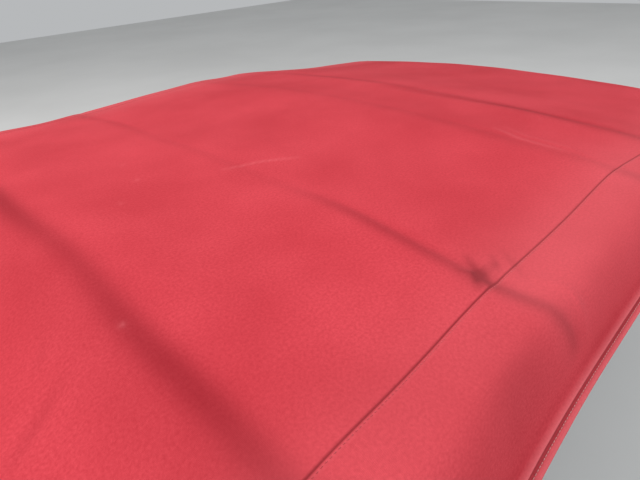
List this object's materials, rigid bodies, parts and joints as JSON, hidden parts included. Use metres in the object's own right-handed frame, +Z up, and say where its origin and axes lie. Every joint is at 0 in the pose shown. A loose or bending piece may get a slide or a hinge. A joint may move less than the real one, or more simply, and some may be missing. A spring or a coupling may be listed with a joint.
{
  "type": "folding cloth soft top for a two-seat car",
  "caption": "Folding fabric roof with a curved cover over bent tube bows, hinged side rails, pivoting pillars and a clear rear window, for an open two-seat car.",
  "frame": {"origin": "centre of the four body bolts, on the belt plane under the bracket flanges", "axes": "+X towards the front of the car, +Y to its left side, +Z up, along the body bolts"},
  "size_m": [1.685, 1.26, 0.438],
  "materials": {
    "cover_cloth": "red woven canvas, matt",
    "clear_vinyl": "clear flexible vinyl, slightly hazed",
    "seal_rubber": "matt black rubber",
    "frame_paint": "satin black paint on steel",
    "header_panel": "satin black paint on pressed steel",
    "rail_alloy": "satin extruded alloy",
    "plated_steel": "zinc plated steel",
    "handle_plastic": "grained black plastic"
  },
  "bodies": {
    "root": {"bracket_left": "frame_paint", "bracket_right": "frame_paint", "tack_rail": "rail_alloy", "rear_cover": "cover_cloth", "rear_window": "clear_vinyl", "quarter_left": "cover_cloth", "quarter_right": "cover_cloth"},
    "main_pillars": {"main_pillar_left": "frame_paint", "main_pillar_right": "frame_paint", "rear_bow": "frame_paint"},
    "balance_links": {"balance_link_left": "frame_paint", "balance_link_right": "frame_paint"},
    "centre_section": {"centre_rail_left": "frame_paint", "centre_rail_right": "frame_paint", "middle_bow": "frame_paint", "centre_carrier_left": "rail_alloy", "centre_carrier_right": "rail_alloy", "centre_seal_left": "seal_rubber", "centre_seal_right": "seal_rubber", "rear_top_cover": "cover_cloth"},
    "front_section": {"front_rail_left": "frame_paint", "front_rail_right": "frame_paint", "crease_bow": "frame_paint", "front_bow": "frame_paint", "header": "header_panel", "header_seal": "seal_rubber", "guide_pin_left": "plated_steel", "guide_pin_right": "plated_steel", "latch_base_left": "plated_steel", "latch_base_right": "plated_steel", "latch_handle_left": "handle_plastic", "latch_handle_right": "handle_plastic", "front_carrier_left": "rail_alloy", "front_carrier_right": "rail_alloy", "front_seal_left": "seal_rubber", "front_seal_right": "seal_rubber", "front_cover": "cover_cloth", "middle_cover": "cover_cloth"}
  },
  "joints": [
    {"name": "main_fold", "type": "hinge", "parent": "root", "child": "main_pillars", "pos_m": [-0.1, 0, 0.01], "axis": [0, -1, 0], "range_deg": [0, 108], "deforming": ["rear_cover", "rear_window", "quarter_left", "quarter_right"]},
    {"name": "centre_fold", "type": "hinge", "parent": "main_pillars", "child": "centre_section", "pos_m": [-0.005, 0, 0.282], "axis": [0, -1, 0], "range_deg": [-108, 0], "deforming": ["rear_top_cover"]},
    {"name": "front_fold", "type": "hinge", "parent": "centre_section", "child": "front_section", "pos_m": [0.43, 0, 0.334], "axis": [0, -1, 0], "range_deg": [0, 182], "deforming": ["middle_cover", "front_cover"]},
    {"name": "balance_fold", "type": "hinge", "parent": "root", "child": "balance_links", "pos_m": [-0.035, 0, 0.047], "axis": [0, -1, 0], "range_deg": [0, 108]}
  ],
  "couplings": [
    {"joint": "centre_fold", "follows": "main_fold", "ratio": -1},
    {"joint": "front_fold", "follows": "main_fold", "ratio": 1.6852},
    {"joint": "balance_fold", "follows": "main_fold", "ratio": 1}
  ]
}
